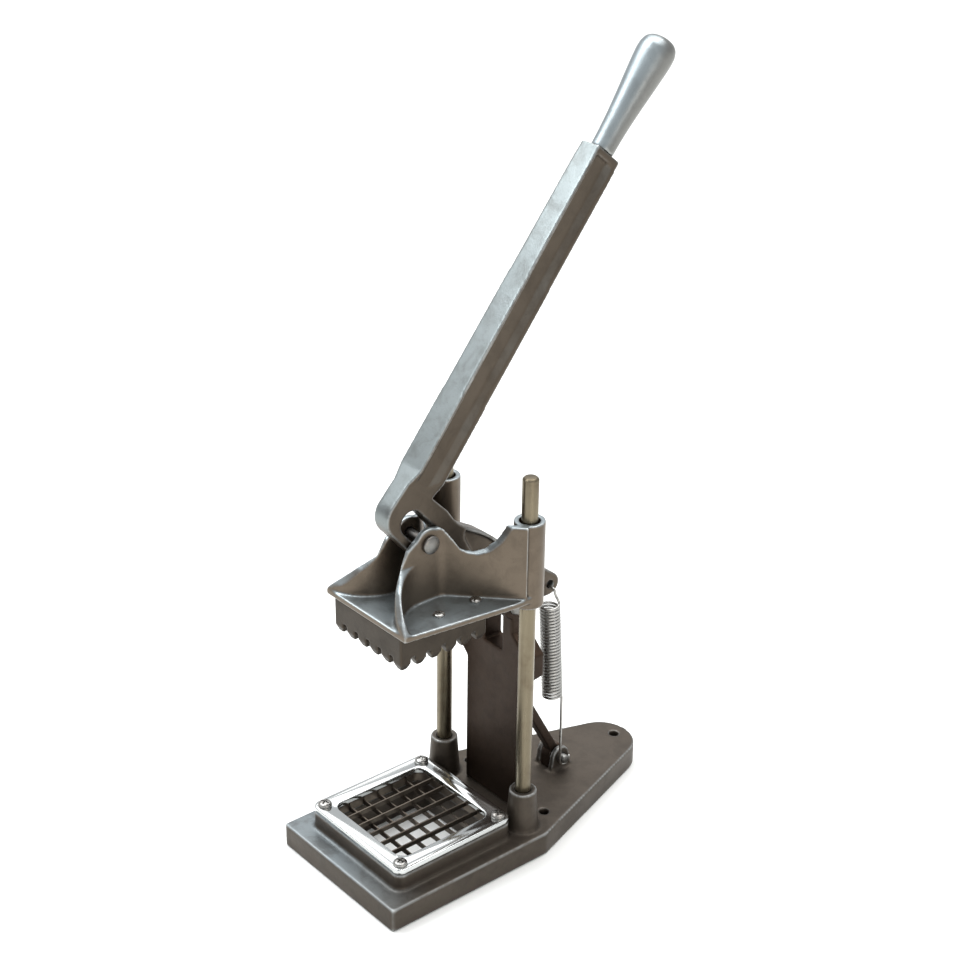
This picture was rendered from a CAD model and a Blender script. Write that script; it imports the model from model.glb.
"""Finishes a french fry cutter: softened castings, polished and ground steel, and a studio stage."""

from math import cos, pi, radians, sin

import bpy
from mathutils import Matrix, Vector


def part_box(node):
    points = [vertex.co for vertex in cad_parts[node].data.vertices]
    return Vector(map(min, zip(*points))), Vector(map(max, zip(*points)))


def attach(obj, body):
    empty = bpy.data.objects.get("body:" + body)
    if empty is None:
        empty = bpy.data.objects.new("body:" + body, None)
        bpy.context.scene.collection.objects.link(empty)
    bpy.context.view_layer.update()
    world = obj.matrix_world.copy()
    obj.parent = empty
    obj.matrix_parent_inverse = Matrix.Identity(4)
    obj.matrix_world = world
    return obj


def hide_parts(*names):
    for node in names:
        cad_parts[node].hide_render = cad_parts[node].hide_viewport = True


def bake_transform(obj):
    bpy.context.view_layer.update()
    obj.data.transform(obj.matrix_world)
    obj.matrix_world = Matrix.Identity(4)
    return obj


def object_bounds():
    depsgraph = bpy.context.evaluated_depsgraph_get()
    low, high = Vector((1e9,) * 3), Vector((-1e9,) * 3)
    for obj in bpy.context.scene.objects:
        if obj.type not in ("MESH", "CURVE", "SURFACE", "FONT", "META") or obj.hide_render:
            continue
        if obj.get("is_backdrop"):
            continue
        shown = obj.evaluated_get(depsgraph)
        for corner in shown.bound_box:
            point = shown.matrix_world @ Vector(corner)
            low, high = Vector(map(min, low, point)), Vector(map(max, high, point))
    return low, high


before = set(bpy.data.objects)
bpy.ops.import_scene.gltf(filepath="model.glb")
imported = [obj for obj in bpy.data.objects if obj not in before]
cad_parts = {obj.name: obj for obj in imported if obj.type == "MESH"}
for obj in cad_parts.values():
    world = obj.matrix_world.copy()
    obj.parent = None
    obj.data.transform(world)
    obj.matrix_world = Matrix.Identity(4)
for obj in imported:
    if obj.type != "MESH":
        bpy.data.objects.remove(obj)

bl_info = {
    "name": "French Fry Cutter Finish",
    "version": (1, 0, 0),
    "blender": (4, 5, 0),
    "location": "View3D > Sidebar > Cutter",
    "description": "Dresses the packed press with castings, polished steel and a studio stage",
    "category": "Object",
}

MM = 0.001
# Points nearer than this are merged, and faces that turn less than this count as one flat face.
MERGE = 0.002 * MM
FLAT = radians(0.5)
# How far the lever's front face looks forward of straight up.
ARM_SLOPE = radians(51.7)
# Where the base's rubbed front begins and where it is full, along y plus this share of x.
BASE_RUBBED = (-0.06, -0.16)
RUBBED_ACROSS = 0.6


class CutterSizes(bpy.types.PropertyGroup):
    """Sizes that a user would change."""

    cast_grid: bpy.props.FloatProperty(
        name="Casting Grid", description="Size of the faces of a softened casting",
        default=0.95 * MM, min=0.6 * MM, max=3 * MM, unit="LENGTH")
    base_grid: bpy.props.FloatProperty(
        name="Base Grid", description="Size of the faces of the softened base",
        default=1.25 * MM, min=0.8 * MM, max=3 * MM, unit="LENGTH")
    cast_rounds: bpy.props.IntProperty(
        name="Casting Softness", description="Rounds of smoothing on a casting's edges",
        default=6, min=1, max=30)
    crisp_edge: bpy.props.FloatProperty(
        name="Machined Edge", description="Width of the bevel on a machined edge",
        default=0.5 * MM, min=0.1 * MM, max=2 * MM, unit="LENGTH")
    plate_edge: bpy.props.FloatProperty(
        name="Frame Edge", description="Width of the bevel on the polished frame",
        default=1.1 * MM, min=0.2 * MM, max=2 * MM, unit="LENGTH")
    recess_width: bpy.props.FloatProperty(
        name="Driver Recess", description="Width of a screwdriver recess",
        default=1.5 * MM, min=0.5 * MM, max=3 * MM, unit="LENGTH")
    frame_head: bpy.props.FloatProperty(
        name="Frame Screw", description="Radius of a frame screw's head",
        default=5.5 * MM, min=3 * MM, max=8 * MM, unit="LENGTH")
    plate_head: bpy.props.FloatProperty(
        name="Plate Screw", description="Radius of a plate screw's head",
        default=4.5 * MM, min=2 * MM, max=4.5 * MM, unit="LENGTH")
    plate_head_height: bpy.props.FloatProperty(
        name="Plate Screw Height", description="Height of a plate screw's head",
        default=2.6 * MM, min=1 * MM, max=4 * MM, unit="LENGTH")
    tooth_grid: bpy.props.FloatProperty(
        name="Tooth Grid", description="Size of the faces of the softened pusher block",
        default=0.8 * MM, min=0.6 * MM, max=2 * MM, unit="LENGTH")
    tooth_rounds: bpy.props.IntProperty(
        name="Tooth Softness", description="Rounds of smoothing on the pusher block's edges",
        default=3, min=1, max=12)
    grip_grid: bpy.props.FloatProperty(
        name="Grip Grid", description="Size of the faces of the softened grip",
        default=1 * MM, min=0.6 * MM, max=3 * MM, unit="LENGTH")
    grip_rounds: bpy.props.IntProperty(
        name="Grip Softness", description="Rounds of smoothing on the grip",
        default=12, min=1, max=30)
    rod_edge: bpy.props.FloatProperty(
        name="Rod Edge", description="Width of the bevel on a guide rod's ends",
        default=0.35 * MM, min=0.1 * MM, max=1 * MM, unit="LENGTH")
    wire_fill: bpy.props.FloatProperty(
        name="Wire Fill", description="Thickness given back to the wire after it is rounded",
        default=0.12 * MM, min=0, max=0.15 * MM, unit="LENGTH")
    coil_foot: bpy.props.FloatVectorProperty(
        name="Coil Foot", description="Middle of the spring's lowest turn",
        default=(14 * MM, 61.4 * MM, 99.5 * MM), size=3, subtype="TRANSLATION", unit="LENGTH")
    coil_head: bpy.props.FloatVectorProperty(
        name="Coil Head", description="Middle of the spring's highest turn",
        default=(14 * MM, 55.5 * MM, 186.8 * MM), size=3, subtype="TRANSLATION", unit="LENGTH")
    coil_swell: bpy.props.FloatProperty(
        name="Coil Swell",
        description="Share of its radius that the coil gets back before it is rounded",
        default=0.09, min=0, max=0.1)


class CutterColours(bpy.types.PropertyGroup):
    """Colours that a user would change."""

    cast_lit: bpy.props.FloatVectorProperty(
        name="Casting, Rubbed", description="Colour of a casting's rubbed upper faces",
        default=(0.20, 0.225, 0.235), size=3, subtype="COLOR", min=0, max=1)
    cast_side: bpy.props.FloatVectorProperty(
        name="Casting, Side", description="Colour of a casting's stained sides",
        default=(0.115, 0.092, 0.070), size=3, subtype="COLOR", min=0, max=1)
    cast_edge: bpy.props.FloatVectorProperty(
        name="Casting, Edge", description="Colour of a casting's bright worn edges",
        default=(0.66, 0.69, 0.69), size=3, subtype="COLOR", min=0, max=1)
    arm_lit: bpy.props.FloatVectorProperty(
        name="Lever, Rubbed", description="Colour of the lever's rubbed front face",
        default=(0.20, 0.22, 0.22), size=3, subtype="COLOR", min=0, max=1)
    upright: bpy.props.FloatVectorProperty(
        name="Upright", description="Colour of the dark upright",
        default=(0.034, 0.021, 0.014), size=3, subtype="COLOR", min=0, max=1)
    bright: bpy.props.FloatVectorProperty(
        name="Bright Steel", description="Colour of ground and plated steel",
        default=(0.70, 0.69, 0.66), size=3, subtype="COLOR", min=0, max=1)
    rod: bpy.props.FloatVectorProperty(
        name="Guide Rod", description="Colour of the oiled guide rods",
        default=(0.20, 0.17, 0.118), size=3, subtype="COLOR", min=0, max=1)
    polished: bpy.props.FloatVectorProperty(
        name="Polished Frame", description="Colour of the mirror-polished frame",
        default=(0.58, 0.595, 0.59), size=3, subtype="COLOR", min=0, max=1)
    blade: bpy.props.FloatVectorProperty(
        name="Blade", description="Colour of the dark blades",
        default=(0.12, 0.10, 0.08), size=3, subtype="COLOR", min=0, max=1)
    bronze: bpy.props.FloatVectorProperty(
        name="Bush", description="Colour of the bronze bushes",
        default=(0.42, 0.28, 0.13), size=3, subtype="COLOR", min=0, max=1)
    grip_side: bpy.props.FloatVectorProperty(
        name="Grip", description="Colour of the grip's duller side",
        default=(0.21, 0.21, 0.20), size=3, subtype="COLOR", min=0, max=1)
    base_top: bpy.props.FloatVectorProperty(
        name="Base, Top", description="Colour of the base's dull upper face",
        default=(0.068, 0.055, 0.043), size=3, subtype="COLOR", min=0, max=1)
    floor: bpy.props.FloatVectorProperty(
        name="Floor", description="Colour of the pale floor",
        default=(0.86, 0.86, 0.84), size=3, subtype="COLOR", min=0, max=1)


class CutterCamera(bpy.types.PropertyGroup):
    """Where the camera stands, as measured for the photographed view."""

    place: bpy.props.FloatVectorProperty(
        name="Place", description="Where the camera stands",
        default=(0.98063, -0.83690, 0.93338), size=3, subtype="TRANSLATION", unit="LENGTH")
    azimuth: bpy.props.FloatProperty(
        name="Azimuth", description="Turn of the camera round the press",
        default=radians(49.6806), unit="ROTATION")
    elevation: bpy.props.FloatProperty(
        name="Elevation", description="Angle of the camera above the horizon",
        default=radians(25.9026), unit="ROTATION")
    roll: bpy.props.FloatProperty(
        name="Roll", description="Roll of the camera about its own axis",
        default=radians(0.7908), unit="ROTATION")
    lens: bpy.props.FloatProperty(
        name="Lens", description="Focal length in millimetres on a 36 mm sensor", default=71.64)
    shift: bpy.props.FloatVectorProperty(
        name="Shift", description="Shift of the lens across and up, as shares of the image width",
        default=(-0.0043, 0.0032), size=2)


# Modelling

def deselect():
    """Nothing is selected or active, so that an operator acts only on what is chosen next."""
    if bpy.context.object and bpy.context.object.mode != "OBJECT":
        bpy.ops.object.mode_set(mode="OBJECT")
    bpy.ops.object.select_all(action="DESELECT")


def pick(*pieces):
    """Selects these pieces alone, with the first one active."""
    deselect()
    for piece in pieces:
        piece.select_set(True)
    bpy.context.view_layer.objects.active = pieces[0]


def modify(piece, kind, **settings):
    """Adds a modifier with these settings and applies it."""
    pick(piece)
    bpy.ops.object.modifier_add(type=kind)
    modifier = piece.modifiers[-1]
    for key, value in settings.items():
        setattr(modifier, key, value)
    bpy.ops.object.modifier_apply(modifier=modifier.name)


def copy_of(node, name):
    """A copy of a CAD node with its own mesh, its loose triangles merged."""
    piece = bpy.data.objects.new(name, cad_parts[node].data.copy())
    bpy.context.scene.collection.objects.link(piece)
    pick(piece)
    bpy.ops.object.mode_set(mode="EDIT")
    bpy.ops.mesh.select_all(action="SELECT")
    bpy.ops.mesh.remove_doubles(threshold=MERGE)
    bpy.ops.mesh.customdata_custom_splitnormals_clear()
    bpy.ops.object.mode_set(mode="OBJECT")
    return piece


def soften(piece, grid, rounds):
    """Rounds every edge and fillets every corner, as a sand casting has them."""
    modify(piece, "REMESH", mode="VOXEL", voxel_size=grid)
    modify(piece, "SMOOTH", factor=0.5, iterations=rounds)
    pick(piece)
    bpy.ops.object.shade_smooth()
    return piece


def crisp(piece, width, steps=3, sharp=30):
    """Joins flat faces and bevels the machined edges."""
    pick(piece)
    bpy.ops.object.mode_set(mode="EDIT")
    bpy.ops.mesh.select_all(action="SELECT")
    bpy.ops.mesh.dissolve_limited(angle_limit=FLAT)
    bpy.ops.object.mode_set(mode="OBJECT")
    modify(piece, "BEVEL", width=width, segments=steps, limit_method="ANGLE",
           angle_limit=radians(sharp), use_clamp_overlap=False, miter_outer="MITER_ARC")
    pick(piece)
    bpy.ops.object.shade_smooth_by_angle(angle=radians(sharp))
    return piece


def set_place(piece, matrix):
    """Writes a place into the mesh and leaves the object at the origin."""
    piece.data.transform(matrix)
    piece.matrix_world = Matrix.Identity(4)


def finish_piece(piece, material, slot, body, *nodes):
    """Gives a piece its material, slot and body, and hides the nodes that it stands for."""
    piece.data.materials.clear()
    piece.data.materials.append(material)
    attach(piece, body)
    if nodes:
        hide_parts(*nodes)
    return piece


def paint(node, material):
    """A CAD node whose shape is right gets a better material in its slots."""
    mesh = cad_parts[node].data
    if not mesh.materials:
        mesh.materials.append(material)
    for i in range(len(mesh.materials)):
        mesh.materials[i] = material


def join(pieces, name):
    """Several pieces as one."""
    pick(*pieces)
    bpy.ops.object.join()
    pieces[0].name = name
    return pieces[0]


# Shader maths

class Value:
    """A socket that takes part in sums, so that shader maths reads as an expression."""

    def __init__(self, finish, socket):
        self.finish = finish
        self.socket = socket

    def calc(self, operation, first, second):
        """One Math node."""
        return self.finish.node("ShaderNodeMath", {"operation": operation}, {0: first, 1: second})

    def __add__(self, other):
        return self.calc("ADD", self, other)

    def __sub__(self, other):
        return self.calc("SUBTRACT", self, other)

    def __rsub__(self, other):
        return self.calc("SUBTRACT", other, self)

    def __mul__(self, other):
        return self.calc("MULTIPLY", self, other)

    __radd__ = __add__
    __rmul__ = __mul__


class Finish:
    """A material being made: its nodes are added by one method."""

    def __init__(self, name):
        self.material = bpy.data.materials.new(name)
        self.material.use_nodes = True
        self.tree = self.material.node_tree
        self.shader = self.tree.nodes["Principled BSDF"]

    def node(self, kind, settings=None, sockets=None, output=0):
        """Adds a node, sets it up, and links or sets its sockets."""
        made = self.tree.nodes.new(kind)
        for key, value in (settings or {}).items():
            setattr(made, key, value)
        for key, value in (sockets or {}).items():
            self.join(made.inputs[key], value)
        return Value(self, made.outputs[output])

    def join(self, socket, value):
        """Links a Value to a socket, or sets a constant on it."""
        if isinstance(value, Value):
            self.tree.links.new(value.socket, socket)
        elif hasattr(value, "__len__") and len(value) == 3 and socket.type == "RGBA":
            socket.default_value = (*value, 1)
        else:
            socket.default_value = value

    def place(self, output="Object"):
        """Object coordinates, or the surface's own normal."""
        return self.node("ShaderNodeTexCoord", output=output)

    def noise(self, scale, detail=4.0, roughness=0.55, stretch=None, distortion=0.0):
        """Noise on object coordinates, which may be stretched along an axis."""
        at = self.place()
        if stretch:
            at = self.node("ShaderNodeMapping", None, {"Vector": at, "Scale": stretch})
        return self.node("ShaderNodeTexNoise", None, {
            "Vector": at, "Scale": scale, "Detail": detail, "Roughness": roughness,
            "Distortion": distortion})

    def span(self, value, low, high, to_low=0.0, to_high=1.0):
        """A value's range, mapped with soft ends onto another range."""
        return self.node("ShaderNodeMapRange", {"interpolation_type": "SMOOTHSTEP"}, {
            "Value": value, "From Min": low, "From Max": high, "To Min": to_low, "To Max": to_high})

    def mix(self, factor, first, second):
        """Two colours mixed."""
        return self.node("ShaderNodeMix", {"data_type": "RGBA"}, {
            "Factor": factor, "A": first, "B": second}, output="Result")

    def bump(self, height, strength, distance):
        """A bump from a height."""
        return self.node("ShaderNodeBump", None, {
            "Height": height, "Strength": strength, "Distance": distance})

    def part(self, vector, axis):
        """One part of a vector, 0 for X to 2 for Z."""
        return self.node("ShaderNodeSeparateXYZ", None, {"Vector": vector}, output=axis)

    def edges(self, low, high):
        """How far a point lies on an outward edge of a dense mesh, from 0 to 1."""
        return self.span(self.node("ShaderNodeNewGeometry", output="Pointiness"), low, high)

    def done(self, **sockets):
        """Sets the shader's own sockets."""
        for key, value in sockets.items():
            self.join(self.shader.inputs[key.replace("_", " ")], value)
        return self.material


def shade(colour, share):
    """A colour made darker or lighter by a share."""
    return [part * share for part in colour]


def cast_metal(name, lit, side, edge, upward=(0, 0, 1), mottle=0.5, rough=0.46, metal=0.9,
               spotty=1.0, worn=0.7, reach=None):
    """Sand-cast metal: rubbed where it faces upward, grimy in its corners, bright on worn edges."""
    f = Finish(name)
    normal = f.place("Normal")
    facing = f.node("ShaderNodeVectorMath", {"operation": "DOT_PRODUCT"}, {0: normal, 1: upward},
                    output="Value")
    cloud = f.noise(17, 5, 0.6)
    stain = f.noise(60, 6, 0.65, distortion=0.4)
    grain = f.noise(900, 3, 0.6)
    rubbed = f.span(facing + (cloud - 0.5) * spotty, 0.15, 0.85)
    if reach:
        at = f.place()
        rubbed = rubbed * f.span(f.part(at, 1) + f.part(at, 0) * RUBBED_ACROSS, *reach)
    body = f.mix(rubbed, side, lit)
    darker = f.mix(f.span(stain, 0.42, 0.68) * mottle, body, shade(side, 0.55))
    pits = f.mix(f.span(grain, 0.62, 0.75) * 0.35, darker, shade(side, 0.4))
    grimy = f.mix(f.edges(0.492, 0.455) * 0.7, pits, shade(side, 0.3))
    bright = f.edges(0.512, 0.58) * f.span(stain, 0.3, 0.6, 0.25 * worn, worn)
    colour = f.mix(bright, grimy, edge)
    height = grain * 0.5 + f.noise(260, 4, 0.6) * 0.9
    dull = f.span(cloud, 0.3, 0.7, rough - 0.06, rough + 0.10) - bright * 0.12
    return f.done(
        Base_Color=colour, Metallic=metal, Roughness=dull, Normal=f.bump(height, 0.35, 0.25 * MM))


def ground_steel(name, colour, rough=0.24, along=2, streaks=0.5, tarnish=(0.20, 0.16, 0.13)):
    """Ground or drawn steel with fine marks along one axis and a light tarnish."""
    f = Finish(name)
    stretch = [1.0, 1.0, 1.0]
    stretch[along] = 0.03
    lines = f.noise(700, 3, 0.6, stretch=stretch)
    cloud = f.noise(35, 5, 0.6)
    dull = f.span(cloud, 0.45, 0.75) * streaks
    return f.done(
        Base_Color=f.mix(dull, f.mix(lines * 0.35, colour, shade(colour, 0.6)), tarnish),
        Metallic=1.0, Roughness=f.span(lines, 0.3, 0.7, rough - 0.05, rough + 0.1) + dull * 0.15,
        Normal=f.bump(lines, 0.12, 0.05 * MM))


def mirror_plate(name, colour):
    """A mirror-polished plate with fine wiping marks and a little haze."""
    f = Finish(name)
    marks = f.noise(420, 2, 0.5, stretch=(1, 0.06, 1))
    haze = f.noise(30, 4, 0.6)
    return f.done(
        Base_Color=f.mix(f.span(haze, 0.45, 0.8) * 0.25, colour, shade(colour, 0.75)), Metallic=1.0,
        Roughness=f.span(haze, 0.35, 0.7, 0.09, 0.20) + marks * 0.04,
        Normal=f.bump(marks, 0.05, 0.03 * MM))


def dark_steel(name, colour):
    """Blackened or stained steel."""
    f = Finish(name)
    cloud = f.noise(55, 5, 0.6)
    lines = f.noise(500, 2, 0.5, stretch=(0.1, 1, 1))
    return f.done(
        Base_Color=f.mix(f.span(cloud, 0.4, 0.7) * 0.6, colour, shade(colour, 0.5)), Metallic=0.9,
        Roughness=f.span(cloud, 0.3, 0.7, 0.34, 0.5), Normal=f.bump(lines, 0.1, 0.05 * MM))


MADE = {}


def material(name):
    """The material of that name, made the first time that it is asked for."""
    if name not in MADE:
        c = bpy.context.scene.cutter_colours
        lit, side, edge = list(c.cast_lit), list(c.cast_side), list(c.cast_edge)
        arm_front = (0, -sin(ARM_SLOPE), cos(ARM_SLOPE))
        recipes = {
            "cast_base": lambda: cast_metal(
                name, shade(lit, 0.9), list(c.base_top), edge,
                mottle=0.45, metal=0.75, reach=BASE_RUBBED),
            "cast_carriage": lambda: cast_metal(
                name, shade(lit, 1.5), shade(side, 1.15), edge,
                mottle=0.35, rough=0.38, spotty=1.3, worn=1.0),
            "cast_block": lambda: cast_metal(
                name, shade(side, 0.45), shade(side, 0.4), shade(side, 1.2), mottle=0.5, worn=0.5),
            "cast_lever": lambda: cast_metal(
                name, list(c.arm_lit), shade(side, 0.72), edge,
                upward=arm_front, mottle=0.3, rough=0.38, spotty=0.4),
            "cast_upright": lambda: cast_metal(
                name, shade(c.upright, 1.7), list(c.upright), [0.09, 0.075, 0.062],
                mottle=0.5, rough=0.5, metal=0.85, worn=0.6),
            "cast_grip": lambda: cast_metal(
                name, shade(lit, 1.4), list(c.grip_side), edge,
                upward=arm_front, mottle=0.2, rough=0.33, spotty=0.5),
            "polished_frame": lambda: mirror_plate(name, list(c.polished)),
            "rod_steel": lambda: ground_steel(
                name, list(c.rod), 0.3, streaks=0.6, tarnish=(0.10, 0.075, 0.05)),
            "screw_steel": lambda: ground_steel(name, shade(c.bright, 0.5), 0.24, along=0),
            "pin_steel": lambda: ground_steel(name, shade(c.bright, 0.3), 0.34, along=0),
            "spring_steel": lambda: ground_steel(name, shade(c.bright, 0.62), 0.3, streaks=0.3),
            "blade_steel": lambda: dark_steel(name, list(c.blade)),
            "dark_steel": lambda: dark_steel(name, shade(c.blade, 0.9)),
            "ring_metal": lambda: dark_steel(name, shade(c.blade, 1.4)),
            "bush_bronze": lambda: ground_steel(name, list(c.bronze), 0.4),
        }
        MADE[name] = recipes[name]()
    return MADE[name]


# Pieces

def casting(node, name, body, slot, grid):
    """A softened copy of a cast node."""
    sizes = bpy.context.scene.cutter_sizes
    piece = soften(copy_of(node, name), grid, sizes.cast_rounds)
    return finish_piece(piece, material(slot), slot, body, node)


class CUTTER_OT_base(bpy.types.Operator):
    """Softens the cast base with its seat, sockets and lug ears"""

    bl_idname = "cutter.base"
    bl_label = "Base"

    def execute(self, context):
        casting("base", "base_casting", "stand", "cast_base", context.scene.cutter_sizes.base_grid)
        return {"FINISHED"}


class CUTTER_OT_blade_frame(bpy.types.Operator):
    """Polishes the blade frame's plate and rounds its edges"""

    bl_idname = "cutter.blade_frame"
    bl_label = "Blade Frame"

    def execute(self, context):
        piece = crisp(copy_of("blade_frame", "frame_plate"), context.scene.cutter_sizes.plate_edge)
        finish_piece(piece, material("polished_frame"), "polished_frame", "stand", "blade_frame")
        return {"FINISHED"}


class CUTTER_OT_blades(bpy.types.Operator):
    """Finishes the blades and the ring that holds them"""

    bl_idname = "cutter.blades"
    bl_label = "Blades"

    def execute(self, context):
        paint("blade_ring", material("ring_metal"))
        paint("blades_lower", material("blade_steel"))
        paint("blades_upper", material("blade_steel"))
        return {"FINISHED"}


def screw_head(name, radius, height, length, recesses, width):
    """A domed screw head with a short straight rim, and driver recesses cut into its top.

    The recess's length is a share of the head's radius, and each recess has its turn."""
    rim, dome = 0.35, 0.65
    deselect()
    bpy.ops.mesh.primitive_cylinder_add(vertices=40, radius=radius, depth=height * rim,
                                        location=(0, 0, height * rim / 2))
    head = bpy.context.object
    head.name = name
    bpy.ops.object.mode_set(mode="EDIT")
    bpy.ops.mesh.select_all(action="DESELECT")
    bpy.ops.object.mode_set(mode="OBJECT")
    top = max(head.data.polygons, key=lambda face: face.center.z)
    top.select = True
    bpy.ops.object.mode_set(mode="EDIT")
    steps = 6
    for i in range(steps):
        turn, after = (i / steps) * pi / 2, ((i + 1) / steps) * pi / 2
        share = max(cos(after), 0.08) / cos(turn) if i < steps - 1 else 0.25
        bpy.ops.mesh.extrude_region_move(
            TRANSFORM_OT_translate={"value": (0, 0, height * dome * (sin(after) - sin(turn)))})
        bpy.ops.transform.resize(value=(share, share, 1), center_override=(0, 0, 0))
    bpy.ops.object.mode_set(mode="OBJECT")
    cutters = []
    for turn in recesses:
        deselect()
        bpy.ops.mesh.primitive_cube_add(size=1, location=(0, 0, height))
        cutter = bpy.context.object
        bpy.ops.transform.resize(value=(radius * length, width, height * 0.9))
        bpy.ops.transform.rotate(value=-turn, orient_axis="Z", center_override=(0, 0, 0))
        bpy.ops.object.transform_apply(location=True, rotation=True, scale=True)
        cutters.append(cutter)
    for cutter in cutters:
        modify(head, "BOOLEAN", operation="DIFFERENCE", object=cutter, solver="EXACT")
    pick(*cutters)
    bpy.ops.object.delete()
    modify(head, "BEVEL", width=0.12 * MM, segments=2, limit_method="ANGLE", angle_limit=radians(35))
    pick(head)
    bpy.ops.object.transform_apply(location=True, rotation=True, scale=True)
    bpy.ops.object.shade_smooth_by_angle(angle=radians(35))
    return head


def spread(head, spots, turns, name):
    """Copies of a screw head, each with its own mesh, set at their places and joined."""
    heads = []
    for spot, turn in zip(spots, turns):
        copy = bpy.data.objects.new(name, head.data.copy())
        bpy.context.scene.collection.objects.link(copy)
        set_place(copy, Matrix.Translation(spot) @ Matrix.Rotation(turn, 4, "Z"))
        heads.append(copy)
    bpy.data.objects.remove(head)
    return join(heads, name)


class CUTTER_OT_frame_screws(bpy.types.Operator):
    """Makes the four cross-recessed screws of the blade frame"""

    bl_idname = "cutter.frame_screws"
    bl_label = "Frame Screws"

    def execute(self, context):
        low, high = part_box("frame_screws")
        plate_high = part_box("blade_frame")[1]
        head_r = context.scene.cutter_sizes.frame_head
        head = screw_head("frame_screw", head_r, high.z - plate_high.z, 1.25, (0, pi / 2),
                          context.scene.cutter_sizes.recess_width)
        middle = (low + high) / 2
        reach = (high.x - low.x) / 2 - head_r
        spots = [Vector((middle.x + i * reach, middle.y + j * reach, plate_high.z))
                 for i in (-1, 1) for j in (-1, 1)]
        screws = spread(head, spots, (0.4, 1.1, 0.2, 0.8), "frame_screw_heads")
        finish_piece(screws, material("screw_steel"), "screw_steel", "stand", "frame_screws")
        return {"FINISHED"}


class CUTTER_OT_rods(bpy.types.Operator):
    """Finishes the guide rods and their grub screws"""

    bl_idname = "cutter.rods"
    bl_label = "Guide Rods"

    def execute(self, context):
        edge = context.scene.cutter_sizes.rod_edge
        for side in ("left", "right"):
            piece = crisp(copy_of(f"guide_rod_{side}", f"rod_{side}"), edge, steps=2)
            finish_piece(piece, material("rod_steel"), "rod_steel", "stand", f"guide_rod_{side}")
        paint("socket_screws", material("dark_steel"))
        return {"FINISHED"}


class CUTTER_OT_upright(bpy.types.Operator):
    """Softens the dark upright with its fork and brace"""

    bl_idname = "cutter.upright"
    bl_label = "Upright"

    def execute(self, context):
        grid = context.scene.cutter_sizes.cast_grid
        casting("upright", "upright_casting", "stand", "cast_upright", grid)
        paint("upright_bolts", material("dark_steel"))
        return {"FINISHED"}


class CUTTER_OT_carriage(bpy.types.Operator):
    """Softens the carriage with its plate, walls and bosses"""

    bl_idname = "cutter.carriage"
    bl_label = "Carriage"

    def execute(self, context):
        grid = context.scene.cutter_sizes.cast_grid
        casting("carriage", "carriage_casting", "carriage", "cast_carriage", grid)
        paint("rod_bushes", material("bush_bronze"))
        return {"FINISHED"}


class CUTTER_OT_pusher(bpy.types.Operator):
    """Softens the toothed pusher block"""

    bl_idname = "cutter.pusher"
    bl_label = "Pusher"

    def execute(self, context):
        sizes = context.scene.cutter_sizes
        piece = soften(copy_of("pusher_block", "pusher_teeth"), sizes.tooth_grid, sizes.tooth_rounds)
        finish_piece(piece, material("cast_block"), "cast_carriage", "carriage", "pusher_block")
        return {"FINISHED"}


class CUTTER_OT_plate_screws(bpy.types.Operator):
    """Makes the four slotted screws of the carriage plate"""

    bl_idname = "cutter.plate_screws"
    bl_label = "Plate Screws"

    def execute(self, context):
        low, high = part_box("pusher_screws")
        sizes = context.scene.cutter_sizes
        head_r = sizes.plate_head
        head_h = sizes.plate_head_height
        head = screw_head("plate_screw", head_r, head_h, 2.4, (0,), sizes.recess_width)
        spots = [Vector((x, y, high.z - head_h)) for x in (low.x + head_r, high.x - head_r)
                 for y in (low.y + head_r, high.y - head_r)]
        screws = spread(head, spots, (0.5, 1.4, 0.9, 2.2), "plate_screw_heads")
        finish_piece(screws, material("screw_steel"), "screw_steel", "carriage", "pusher_screws")
        return {"FINISHED"}


class CUTTER_OT_pins(bpy.types.Operator):
    """Finishes the pins, clips and bush of the linkage"""

    bl_idname = "cutter.pins"
    bl_label = "Pins"

    def execute(self, context):
        edge = context.scene.cutter_sizes.crisp_edge
        for node, body in (("carriage_pin", "carriage"), ("pivot_pin", "stand"), ("lug_pin", "stand")):
            piece = crisp(copy_of(node, node + "_turned"), edge)
            finish_piece(piece, material("pin_steel"), "pin_steel", body, node)
        for node in ("carriage_pin_clip", "pivot_pin_clip", "lug_pin_clip"):
            paint(node, material("dark_steel"))
        paint("pivot_bush", material("bush_bronze"))
        return {"FINISHED"}


class CUTTER_OT_lever(bpy.types.Operator):
    """Softens the cast lever"""

    bl_idname = "cutter.lever"
    bl_label = "Lever"

    def execute(self, context):
        grid = context.scene.cutter_sizes.cast_grid
        casting("lever", "lever_casting", "lever", "cast_lever", grid)
        paint("grip_stud", material("pin_steel"))
        return {"FINISHED"}


class CUTTER_OT_grip(bpy.types.Operator):
    """Smooths the turned grip"""

    bl_idname = "cutter.grip"
    bl_label = "Grip"

    def execute(self, context):
        sizes = context.scene.cutter_sizes
        piece = soften(copy_of("grip", "grip_turned"), sizes.grip_grid, sizes.grip_rounds)
        finish_piece(piece, material("cast_grip"), "polished_grip", "lever", "grip")
        return {"FINISHED"}


def swell(piece, foot, head, share):
    """Moves a coil's points out from its axis by a share, because rounding draws them in."""
    axis = (head - foot).normalized()
    for vertex in piece.data.vertices:
        along = (vertex.co - foot).dot(axis)
        if 0 < along < (head - foot).length:
            vertex.co += share * (vertex.co - foot - axis * along)


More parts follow.
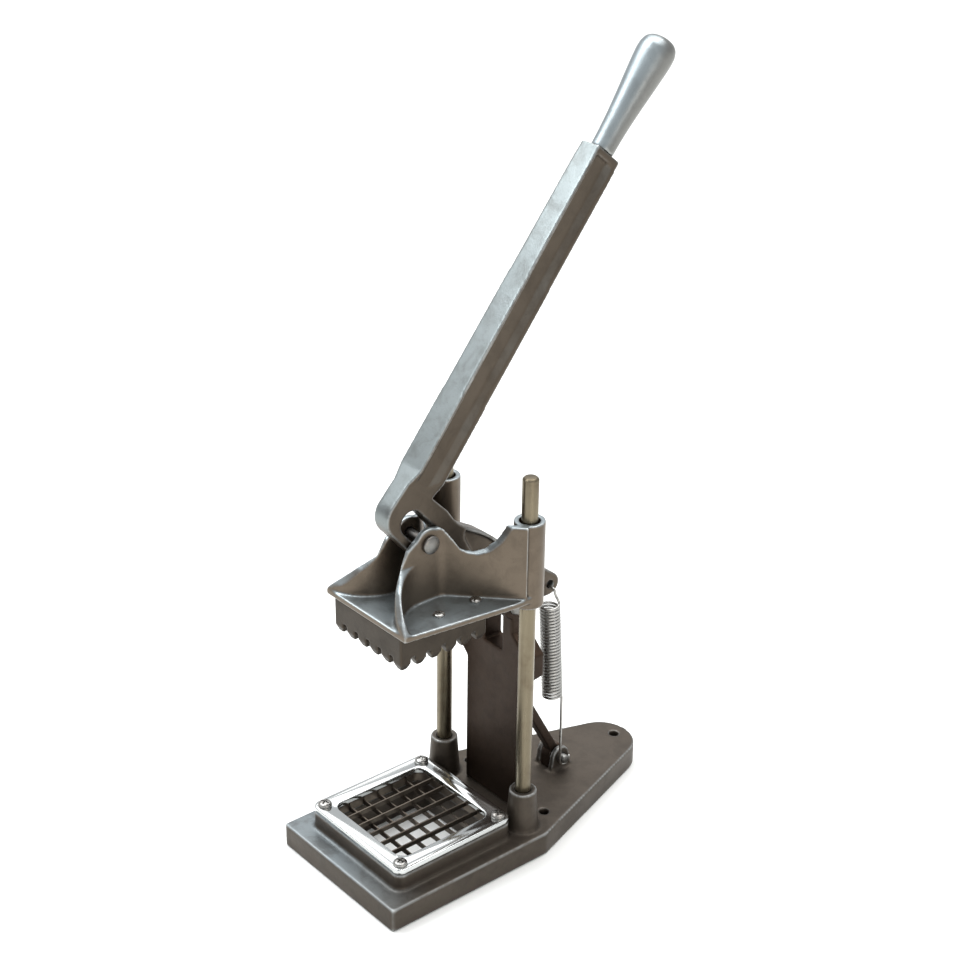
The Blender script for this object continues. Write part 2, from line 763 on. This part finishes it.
class CUTTER_OT_spring(bpy.types.Operator):
    """Rounds the wire of the return spring"""

    bl_idname = "cutter.spring"
    bl_label = "Return Spring"

    def execute(self, context):
        sizes = context.scene.cutter_sizes
        piece = copy_of("return_spring", "spring_wire")
        swell(piece, Vector(sizes.coil_foot), Vector(sizes.coil_head), sizes.coil_swell)
        pick(piece)
        bpy.ops.object.mode_set(mode="EDIT")
        bpy.ops.mesh.select_all(action="SELECT")
        bpy.ops.mesh.tris_convert_to_quads(face_threshold=radians(60), shape_threshold=radians(60))
        bpy.ops.object.mode_set(mode="OBJECT")
        modify(piece, "SUBSURF", levels=2, render_levels=2)
        modify(piece, "DISPLACE", strength=sizes.wire_fill, mid_level=0)
        pick(piece)
        bpy.ops.object.shade_smooth()
        piece.data.materials.clear()
        piece.data.materials.append(material("spring_steel"))
        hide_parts("return_spring")
        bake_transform(piece)
        return {"FINISHED"}


# Stage

# The floor's width, and how far it lies under the press so that the two don't touch.
FLOOR_SIZE = 60
FLOOR_GAP = 0.05 * MM
SURROUND_COLOUR = (0.93, 0.95, 0.97, 1)
SURROUND_STRENGTH = 0.8
SKY_STRENGTH = 1.9
SKY_WIDTH = radians(70)
SKY_TURN = (radians(-12), radians(-18), 0)
# Each soft light's name, place, the point that it faces, width, power and colour.
LIGHTS = (
    ("key", (-0.9, -0.7, 1.9), (0, 0, 0.25), 1.2, 30, (0.93, 0.97, 1.0)),
    ("top", (0.2, 0.5, 2.3), (0, 0, 0.2), 1.6, 20, (1.0, 1.0, 1.0)),
    ("fill", (1.8, -0.4, 0.6), (0, 0, 0.3), 0.8, 5, (1.0, 0.93, 0.85)),
)


def soft_light(name, place, aim, size, power, colour):
    """A soft square light that faces a point."""
    deselect()
    bpy.ops.object.light_add(type="AREA", location=place)
    lamp = bpy.context.object
    lamp.name = name
    lamp.data.size = size
    lamp.data.energy = power
    lamp.data.color = colour
    lamp.rotation_euler = (Vector(aim) - Vector(place)).to_track_quat("-Z", "Y").to_euler()


class CUTTER_OT_stage(bpy.types.Operator):
    """Sets the pale floor, the soft lights and the camera"""

    bl_idname = "cutter.stage"
    bl_label = "Stage"

    def execute(self, context):
        scene = context.scene
        low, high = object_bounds()
        deselect()
        bpy.ops.mesh.primitive_plane_add(size=FLOOR_SIZE, location=(0, 0, low.z - FLOOR_GAP))
        floor = context.object
        floor.name = "floor"
        f = Finish("pale_floor")
        floor.data.materials.append(f.done(Base_Color=list(scene.cutter_colours.floor), Roughness=0.9))
        floor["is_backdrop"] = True
        self.lights(scene)
        self.camera(scene)
        return {"FINISHED"}

    def lights(self, scene):
        """A pale surround, an even soft sky, a cool key, a light overhead and a warm fill."""
        world = bpy.data.worlds.new("studio")
        scene.world = world
        world.use_nodes = True
        back = world.node_tree.nodes["Background"]
        back.inputs["Color"].default_value = SURROUND_COLOUR
        back.inputs["Strength"].default_value = SURROUND_STRENGTH
        deselect()
        bpy.ops.object.light_add(type="SUN", location=(0, 0, 2))
        sky = bpy.context.object
        sky.name = "sky"
        sky.data.energy = SKY_STRENGTH
        sky.data.angle = SKY_WIDTH
        sky.rotation_euler = SKY_TURN
        for light in LIGHTS:
            soft_light(*light)
        scene.view_settings.view_transform = "Standard"

    def camera(self, scene):
        """The camera at the photographed view."""
        view = scene.cutter_camera
        a, e, r = view.azimuth, view.elevation, view.roll
        back = Vector((sin(a) * cos(e), -cos(a) * cos(e), sin(e)))
        right = Vector((cos(a), sin(a), 0))
        up = back.cross(right)
        across = right * cos(r) + up * sin(r)
        above = up * cos(r) - right * sin(r)
        deselect()
        bpy.ops.object.camera_add(location=view.place)
        camera = bpy.context.object
        camera.name = "camera"
        turn = Matrix((across, above, back)).transposed()
        camera.matrix_world = Matrix.Translation(Vector(view.place)) @ turn.to_4x4()
        camera.data.lens = view.lens
        camera.data.sensor_width = 36
        camera.data.shift_x, camera.data.shift_y = view.shift
        scene.camera = camera


class CUTTER_PT_panel(bpy.types.Panel):
    """Lists the cutter's pieces"""

    bl_idname = "CUTTER_PT_panel"
    bl_label = "French Fry Cutter"
    bl_space_type = "VIEW_3D"
    bl_region_type = "UI"
    bl_category = "Cutter"

    def draw(self, context):
        for step in STEPS:
            self.layout.operator(step.bl_idname)
        scene = context.scene
        for group in (scene.cutter_sizes, scene.cutter_colours, scene.cutter_camera):
            for key in group.bl_rna.properties.keys():
                if key not in ("rna_type", "name"):
                    self.layout.prop(group, key)


STEPS = (
    CUTTER_OT_base, CUTTER_OT_blade_frame, CUTTER_OT_blades, CUTTER_OT_frame_screws, CUTTER_OT_rods,
    CUTTER_OT_upright, CUTTER_OT_carriage, CUTTER_OT_pusher, CUTTER_OT_plate_screws, CUTTER_OT_pins,
    CUTTER_OT_lever, CUTTER_OT_grip, CUTTER_OT_spring, CUTTER_OT_stage,
)
GROUPS = (CutterSizes, CutterColours, CutterCamera)


def register():
    for kind in (*GROUPS, *STEPS, CUTTER_PT_panel):
        bpy.utils.register_class(kind)
    bpy.types.Scene.cutter_sizes = bpy.props.PointerProperty(type=CutterSizes)
    bpy.types.Scene.cutter_colours = bpy.props.PointerProperty(type=CutterColours)
    bpy.types.Scene.cutter_camera = bpy.props.PointerProperty(type=CutterCamera)


def unregister():
    del bpy.types.Scene.cutter_camera, bpy.types.Scene.cutter_colours, bpy.types.Scene.cutter_sizes
    for kind in reversed((*GROUPS, *STEPS, CUTTER_PT_panel)):
        bpy.utils.unregister_class(kind)


def main():
    """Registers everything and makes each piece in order."""
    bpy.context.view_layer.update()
    register()
    for step in STEPS:
        group, name = step.bl_idname.split(".")
        getattr(getattr(bpy.ops, group), name)()


if __name__ == "__main__":
    main()
